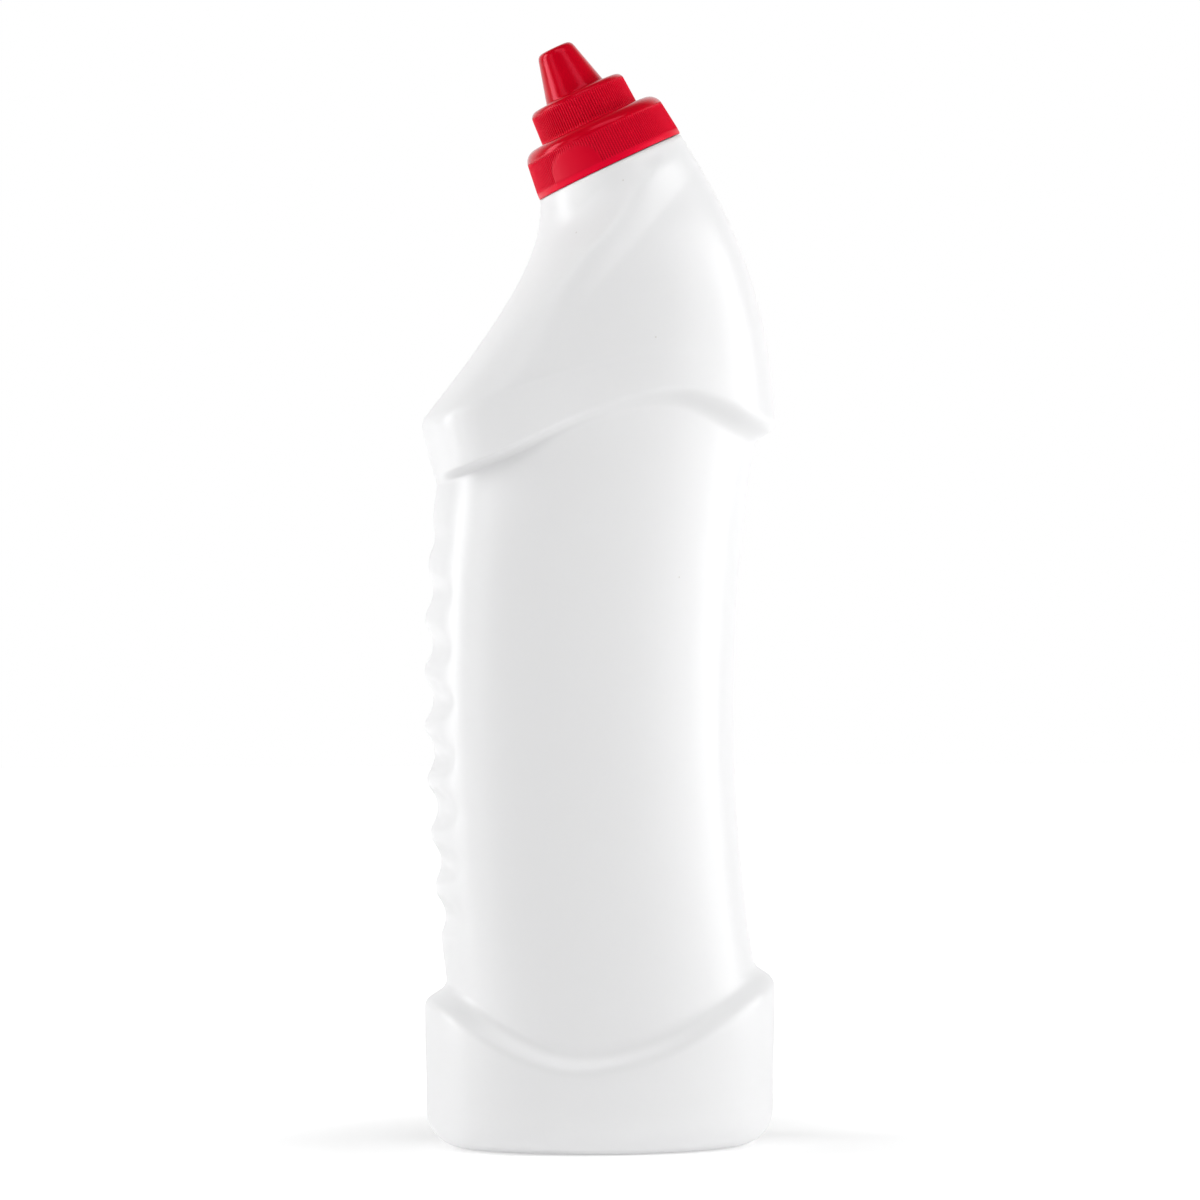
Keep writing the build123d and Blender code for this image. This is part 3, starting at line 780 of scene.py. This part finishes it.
# Section of the cap, from the middle of its tip round to the top of its hollow
def capProfile():
    tierEnd = cap["tierStart"] + cap["tierHeight"]
    tierTop = tierEnd + cap["tierDome"]
    top = tierTop + cap["coneHeight"]
    lean = (cap["coneBase"] - cap["coneTip"]) / cap["coneHeight"]
    skirtBore = cap["skirtRadius"] - cap["wall"]
    sleeve = cap["sleeveBore"] + cap["sleeveWall"]
    hollowTop = top - cap["tipWall"]
    shoulder = cap["innerShoulder"]
    skirtTop = cap["skirtRadius"] - cap["skirtDraft"]
    tierOut = cap["tierRadius"] - cap["tierDraft"]
    crownTop = (tierOut - cap["tierEdge"], tierTop - cap["crownDrop"])
    domeTop = (skirtTop - cap["domeEdge"], cap["tierStart"])
    innerFoot = (skirtBore - cap["skirtDraft"], cap["skirtHeight"] - cap["domeDrop"])
    innerTop = (sleeve, cap["tierStart"] - cap["wall"])
    rim = (skirtBore, cap["rimDepth"])
    rimEdge, sleeveEdge = cap["rimEdge"], cap["sleeveEdge"]
    hollowFoot = cap["coneBase"] - cap["coneWall"] + lean * (tierTop - shoulder)
    hollowEnd = cap["coneTip"] - cap["coneWall"] + lean * cap["tipWall"]
    outside = meridian([
        (cap["tipFlat"], top), (cap["coneTip"], top, cap["tipEdge"]),
        (cap["coneBase"], tierTop, cap["coneFoot"]), crownTop,
        *arcCorners((tierOut, tierEnd), crownTop, cap["crownBulge"])[::-1], (tierOut, tierEnd),
        (cap["tierRadius"], cap["tierStart"], cap["tierFoot"]), domeTop,
        *arcCorners((skirtTop, cap["skirtHeight"]), domeTop, cap["domeEdgeBulge"])[::-1],
        (skirtTop, cap["skirtHeight"]), (cap["skirtRadius"], cap["skirtRim"], cap["skirtBreak"]),
        (cap["skirtRadius"], 0, rimEdge), (skirtBore, 0, rimEdge), rim], cap["spacing"])
    inside = meridian([
        rim, innerFoot, *arcCorners(innerFoot, innerTop, cap["domeBulge"], 4), innerTop,
        (sleeve, cap["sleeveStart"], sleeveEdge),
        (cap["sleeveBore"], cap["sleeveStart"], sleeveEdge),
        (cap["sleeveBore"], shoulder, sleeveEdge), (hollowFoot, shoulder, cap["shoulderEdge"]),
        (hollowEnd, hollowTop, cap["hollowEdge"]), (cap["tipFlat"], hollowTop)],
        cap["innerSpacing"])
    return np.concatenate([outside, inside[1:]])


def makeCap():
    turn = np.arange(cap["columns"]) * fullTurn / cap["columns"]
    tierEnd = cap["tierStart"] + cap["tierHeight"]
    skirtWave = (0.5 - 0.5 * np.cos(cap["skirtRibs"] * turn)) ** cap["ribSharpness"]
    tierWave = (0.5 - 0.5 * np.cos(cap["tierRibs"] * turn)) ** cap["ribSharpness"]
    profile = capProfile()
    rings, satin, paintedShade = [], [], []
    isOutside = True
    for radius, height in profile:
        isTurningIn = height < 0.01 and radius < cap["skirtRadius"] - 0.5  # at the rim
        isOutside = isOutside and not isTurningIn
        cut, raised, dull = np.zeros_like(turn), 0, 0
        if isOutside and radius > cap["tierRadius"] + 2:  # the skirt
            pad = padShare(turn, height)
            dull = 1 - fade(height, cap["skirtHeight"], cap["skirtHeight"] + cap["ribRunOut"])
            starts, full = (cap["skirtRim"] + part for part in cap["skirtRibStart"])
            band = dull * fade(height, starts, full)
            cut = skirtWave * band * (1 - pad)
            raised = cap["padRaise"] * pad * band
        elif isOutside and radius > cap["coneBase"] + 1:  # the upper tier
            dull = 1 - fade(height, tierEnd + cap["tierRibEnd"], tierEnd + cap["ribRunOut"])
            starts, full = (cap["tierStart"] + part for part in cap["tierRibStart"])
            band = dull * fade(height, starts, full)
            cut = tierWave * band
        satin.append(np.full_like(turn, dull))
        # painted shade: darker the deeper between the ribs, and a set share on the raised pads
        paintedShade.append(cut + raised * cap["padPaintedShade"])
        rings.append(neckPoint(radius - cap["ribDepth"] * cut + raised, height, turn))
    rings = np.array(rings)
    tip = neckCentre + neckAxis * profile[0][1]
    hollow = neckCentre + neckAxis * profile[-1][1]
    shell = closedSurface(rings, tip, hollow)
    reach = cap["skirtRadius"] - cap["wall"]
    lugs = [lugBlock(reach - cap["lugDepth"], reach + cap["lugOverlap"], cap["lugFoot"],
                     cap["lugTop"], cap["lugWidth"], math.radians(angle))
            for angle in cap["lugAngles"]]
    points, faces = joined([shell] + lugs)
    piece = addObject("cap_shell", points, faces, "capPlastic", "cap")
    for name, values in (("satin", satin), ("paintedShade", paintedShade)):
        share = np.zeros(len(points))
        share[:rings.shape[0] * rings.shape[1]] = np.concatenate(values)
        piece.data.attributes.new(name, "FLOAT", "POINT").data.foreach_set("value", share)
    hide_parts("cap")
    print("cap made:", len(faces), "faces")


makeCap()


# The insert and the washer keep their own shapes and get their finishes

def dressNode(name, materialName):
    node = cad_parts[name]
    node.data.materials.clear()
    node.data.materials.append(bpy.data.materials[materialName])


dressNode("nozzle_insert", "nozzlePlastic")
dressNode("seal_washer", "washerFoam")
print("insert and washer dressed")


# Floor, light and camera

stage = {
    "floorSize": 6.0, "floorColour": 0.8, "floorGlow": 0.36, "floorLift": 0.25,
    "whiteReach": (0.05, 0.2), "glossReach": (0.3, 0.9),  # distances over which it gets white
    "worldLight": 0.24, "frontGloss": 0.1, "backdropReach": (0.3, 0.8),
    "cameraAzimuth": -7.0, "cameraHeight": 0.142, "cameraDistance": 1.33,
    "photoWidth": 1200, "millimetresPerPixel": 0.2605, "sensor": 36.0,
}
softboxes = {  # azimuth is seen from the camera, rise and reach are from the bottle's middle
    "rightFrontBox": {"azimuth": 50, "rise": 0.0, "reach": 1.2, "size": (0.35, 1.5), "power": 3.4},
    "rightSideBox": {"azimuth": 85, "rise": 0.0, "reach": 1.2, "size": (0.9, 1.5), "power": 14.6},
    "leftFrontBox": {"azimuth": -50, "rise": 0.0, "reach": 1.2, "size": (0.35, 1.5), "power": 2.8},
    "leftSideBox": {"azimuth": -88, "rise": 0.0, "reach": 1.2, "size": (0.45, 1.5), "power": 12.4},
    "topBox": {"azimuth": 0, "rise": 1.0, "reach": 0.7, "size": (1.0, 0.5), "power": 4.3},
}


def ray(shader, kind):
    return shader.node("ShaderNodeLightPath", {}, {}, kind)


def either(shader, first, second):
    return shader.node("ShaderNodeMath", {"operation": "MAXIMUM"}, {0: first, 1: second})


def ramped(shader, value, start, end):
    return shader.node("ShaderNodeMapRange", {"interpolation_type": "SMOOTHSTEP"}, {
        "Value": value, "From Min": start, "From Max": end})


def makeFloor():
    half = stage["floorSize"] / 2
    mesh = bpy.data.meshes.new("floor")
    mesh.from_pydata([(-half, -half, 0), (half, -half, 0), (half, half, 0), (-half, half, 0)],
                     [], [(0, 1, 2, 3)])
    floor = bpy.data.objects.new("floor", mesh)
    bpy.context.scene.collection.objects.link(floor)
    shader = Shader(bpy.data.materials.new("paleFloor"))
    place = shader.node("ShaderNodeTexCoord", {}, {}, "Object")
    away = shader.node("ShaderNodeVectorMath", {"operation": "LENGTH"}, {0: place}, "Value")
    near = stage["floorGlow"]  # its own light beside the bottle, and it is 1 far from it
    whiter = ramped(shader, away, *stage["whiteReach"]) * (1 - near) + near
    glossier = ramped(shader, away, *stage["glossReach"]) * (1 - near) + near
    gloss = either(shader, ray(shader, "Is Glossy Ray"), ray(shader, "Is Transmission Ray"))
    strength = ray(shader, "Is Camera Ray") * whiter + gloss * glossier
    strength = strength + ray(shader, "Is Diffuse Ray") * stage["floorLift"]
    matt = shader.node("ShaderNodeBsdfDiffuse", {}, {"Color": grey(stage["floorColour"])})
    glow = shader.node("ShaderNodeEmission", {}, {"Strength": strength})
    finishMaterial(shader, shader.node("ShaderNodeAddShader", {}, {0: matt, 1: glow}))
    mesh.materials.append(bpy.data.materials["paleFloor"])


# White backdrop that the camera sees all round and gloss sees behind the bottle
def makeWorld():
    world = bpy.data.worlds.new("paleRoom")
    bpy.context.scene.world = world
    shader = Shader(world)
    direction = shader.node("ShaderNodeTexCoord", {}, {}, "Generated")
    depth = shader.node("ShaderNodeSeparateXYZ", {}, {"Vector": direction}, "Y")
    behind = ramped(shader, depth, *stage["backdropReach"])
    gloss = either(shader, ray(shader, "Is Glossy Ray"), ray(shader, "Is Transmission Ray"))
    glossy = gloss * (stage["frontGloss"] + behind * (1 - stage["frontGloss"]))
    lit = (1 - gloss) * stage["worldLight"] + glossy
    strength = either(shader, lit, ray(shader, "Is Camera Ray"))
    glow = shader.node("ShaderNodeBackground", {}, {"Color": grey(1), "Strength": strength})
    shader.node("ShaderNodeOutputWorld", {}, {"Surface": glow})


def aim(thing, place, target):
    thing.location = place
    thing.rotation_mode = "QUATERNION"
    thing.rotation_quaternion = (Vector(target) - Vector(place)).to_track_quat("-Z", "Y")


def makeSoftbox(name, box):
    light = bpy.data.lights.new(name, "AREA")
    light.shape = "RECTANGLE"
    light.size, light.size_y = box["size"]
    light.energy = box["power"]
    lamp = bpy.data.objects.new(name, light)
    bpy.context.scene.collection.objects.link(lamp)
    angle = math.radians(box["azimuth"] + stage["cameraAzimuth"])
    middle = stage["cameraHeight"]
    place = (box["reach"] * math.sin(angle), -box["reach"] * math.cos(angle), middle + box["rise"])
    aim(lamp, place, (0, 0, middle))


def makeCamera():
    camera = bpy.data.cameras.new("camera")
    camera.sensor_width = stage["sensor"]
    across = stage["photoWidth"] * stage["millimetresPerPixel"] * millimetre
    camera.lens = stage["sensor"] * stage["cameraDistance"] / across
    holder = bpy.data.objects.new("camera", camera)
    bpy.context.scene.collection.objects.link(holder)
    angle, reach = math.radians(stage["cameraAzimuth"]), stage["cameraDistance"]
    place = (reach * math.sin(angle), -reach * math.cos(angle), stage["cameraHeight"])
    aim(holder, place, (0, 0, stage["cameraHeight"]))
    bpy.context.scene.camera = holder


makeFloor()
makeWorld()
for boxName, boxValues in softboxes.items():
    makeSoftbox(boxName, boxValues)
makeCamera()
bpy.context.scene.view_settings.view_transform = "Standard"
print("stage set")
